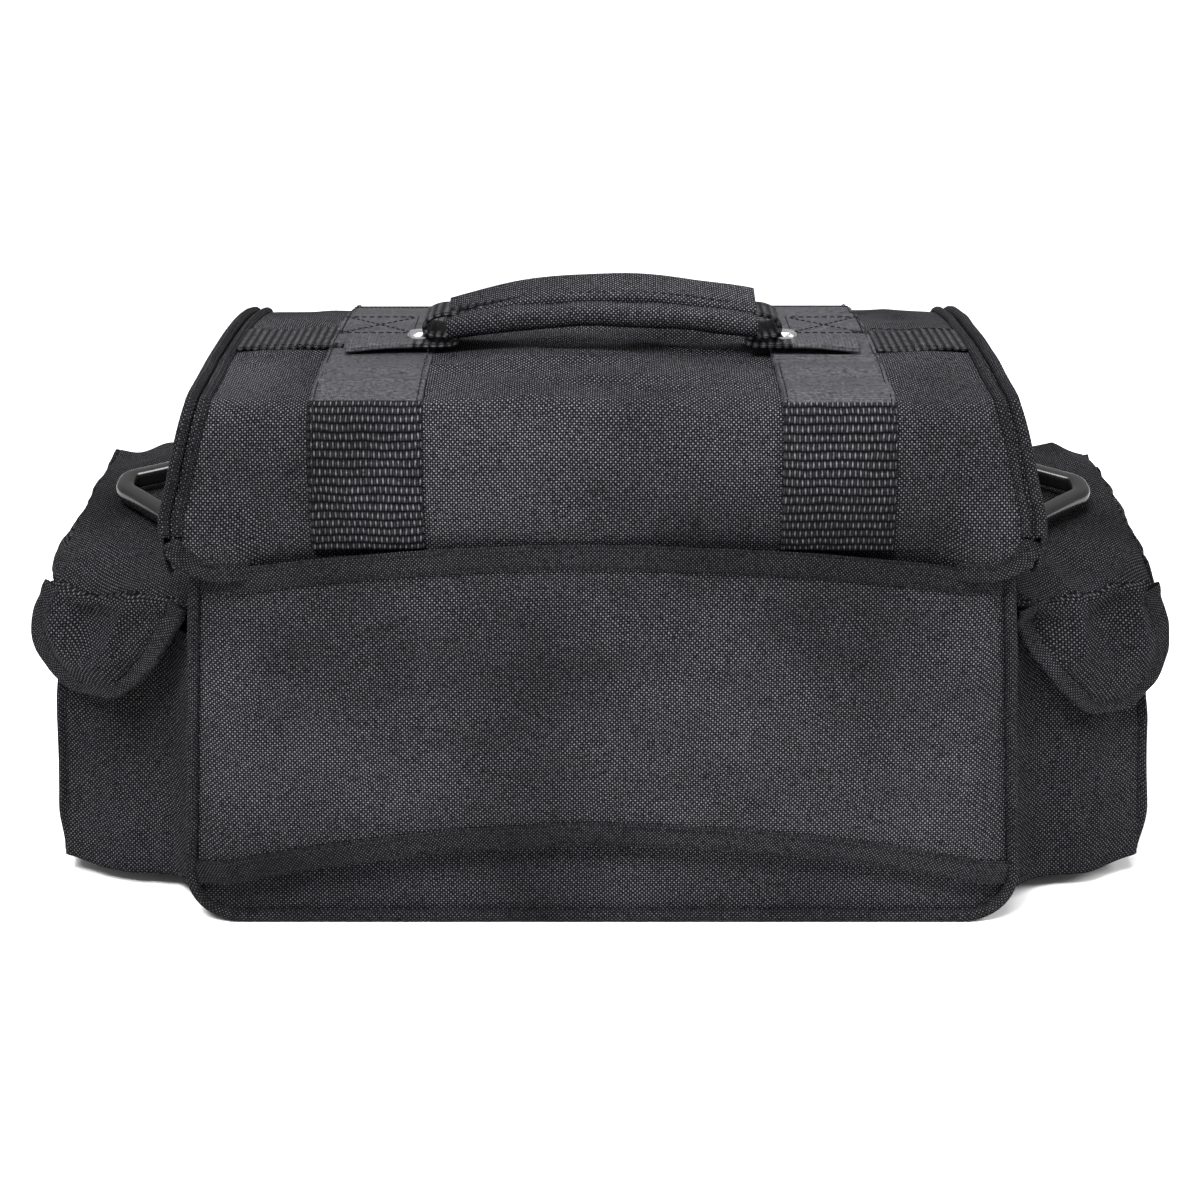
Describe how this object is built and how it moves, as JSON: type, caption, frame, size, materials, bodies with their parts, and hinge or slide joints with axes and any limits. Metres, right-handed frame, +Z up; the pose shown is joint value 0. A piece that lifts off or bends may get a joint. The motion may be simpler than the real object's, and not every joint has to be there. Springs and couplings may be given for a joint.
{
  "type": "camera bag",
  "caption": "Soft-sided camera shoulder bag with a hooded lid, padded dividers, side pouches, trolley sleeve, D-rings and a carry handle.",
  "frame": {"origin": "on the floor plane under the middle of the bag's base", "axes": "+X along the bag's length to its right end, +Y to the front (closure side), +Z up"},
  "size_m": [0.528, 0.2501, 0.2822],
  "materials": {
    "shell_fabric": "coarse plain-weave coated polyester, near black",
    "base_fabric": "coated hard-wearing weave, near black",
    "stiffener": "polypropylene board",
    "lining_foam": "foam under brushed loop lining, dark grey",
    "webbing": "ribbed polyester webbing, black",
    "piping": "cloth-covered cord piping, black",
    "binding_tape": "folded grosgrain tape with two stitch rows, black",
    "ring_plastic": "moulded glossy plastic, black",
    "buckle_plastic": "moulded satin plastic, black",
    "rivet_metal": "nickel-plated domed cap"
  },
  "bodies": {
    "bag": {"back_foam": "lining_foam", "back_panel": "shell_fabric", "back_piping": "piping", "back_sleeve": "shell_fabric", "base_board": "stiffener", "base_foam": "lining_foam", "base_panel": "base_fabric", "buckle_socket_left": "buckle_plastic", "buckle_socket_right": "buckle_plastic", "divider_left": "lining_foam", "divider_right": "lining_foam", "end_foam_left": "lining_foam", "end_foam_right": "lining_foam", "end_panel_left": "shell_fabric", "end_panel_right": "shell_fabric", "front_foam": "lining_foam", "front_panel": "shell_fabric", "front_piping": "piping", "front_pocket": "shell_fabric", "front_webbing_left": "webbing", "front_webbing_right": "webbing", "hinge_tape": "binding_tape", "pocket_binding": "binding_tape", "side_pouch_base_left": "shell_fabric", "side_pouch_base_right": "shell_fabric", "side_pouch_left": "shell_fabric", "side_pouch_right": "shell_fabric", "sleeve_bottom_binding": "binding_tape", "sleeve_top_binding": "binding_tape", "strap_tab_left": "webbing", "strap_tab_right": "webbing"},
    "lid": {"lid_cover": "shell_fabric", "lid_foam": "lining_foam", "lid_skirt_left": "shell_fabric", "lid_skirt_right": "shell_fabric", "lid_piping_left": "piping", "lid_piping_right": "piping", "lid_webbing_left": "webbing", "lid_webbing_right": "webbing", "cross_webbing_left": "webbing", "cross_webbing_right": "webbing", "handle_leg_left": "webbing", "handle_leg_right": "webbing", "handle_rivets": "rivet_metal"},
    "handle": {"handle_grip": "shell_fabric", "handle_core": "webbing"},
    "side_flap_left": {"side_flap_left": "shell_fabric"},
    "side_flap_right": {"side_flap_right": "shell_fabric"},
    "d_ring_left": {"d_ring_left": "ring_plastic"},
    "d_ring_right": {"d_ring_right": "ring_plastic"},
    "strap_tail_left": {"strap_tail_left": "webbing", "buckle_plug_left": "buckle_plastic"},
    "strap_tail_right": {"strap_tail_right": "webbing", "buckle_plug_right": "buckle_plastic"}
  },
  "joints": [
    {"name": "lid_hinge", "type": "hinge", "parent": "bag", "child": "lid", "pos_m": [0, -0.112, 0.192], "axis": [1, 0, 0], "range_deg": [0, 100]},
    {"name": "handle_lift", "type": "slide", "parent": "lid", "child": "handle", "axis": [0, 0, 1], "range_m": [0, 0.02]},
    {"name": "side_flap_left_hinge", "type": "hinge", "parent": "bag", "child": "side_flap_left", "pos_m": [-0.2, 0, 0.177], "axis": [0, 0.9945, 0.1045], "range_deg": [0, 50]},
    {"name": "d_ring_left_hinge", "type": "hinge", "parent": "side_flap_left", "child": "d_ring_left", "pos_m": [-0.2, 0, 0.177], "axis": [0, 0.9945, 0.1045], "range_deg": [0, 40]},
    {"name": "strap_tail_left_hinge", "type": "hinge", "parent": "lid", "child": "strap_tail_left", "pos_m": [-0.104, 0.1202, 0.181], "axis": [1, 0, 0], "range_deg": [0, 90]},
    {"name": "side_flap_right_hinge", "type": "hinge", "parent": "bag", "child": "side_flap_right", "pos_m": [0.2, 0, 0.177], "axis": [0, -0.9945, -0.1045], "range_deg": [0, 50]},
    {"name": "d_ring_right_hinge", "type": "hinge", "parent": "side_flap_right", "child": "d_ring_right", "pos_m": [0.2, 0, 0.177], "axis": [0, -0.9945, -0.1045], "range_deg": [0, 40]},
    {"name": "strap_tail_right_hinge", "type": "hinge", "parent": "lid", "child": "strap_tail_right", "pos_m": [0.104, 0.1202, 0.181], "axis": [1, 0, 0], "range_deg": [0, 90]}
  ]
}
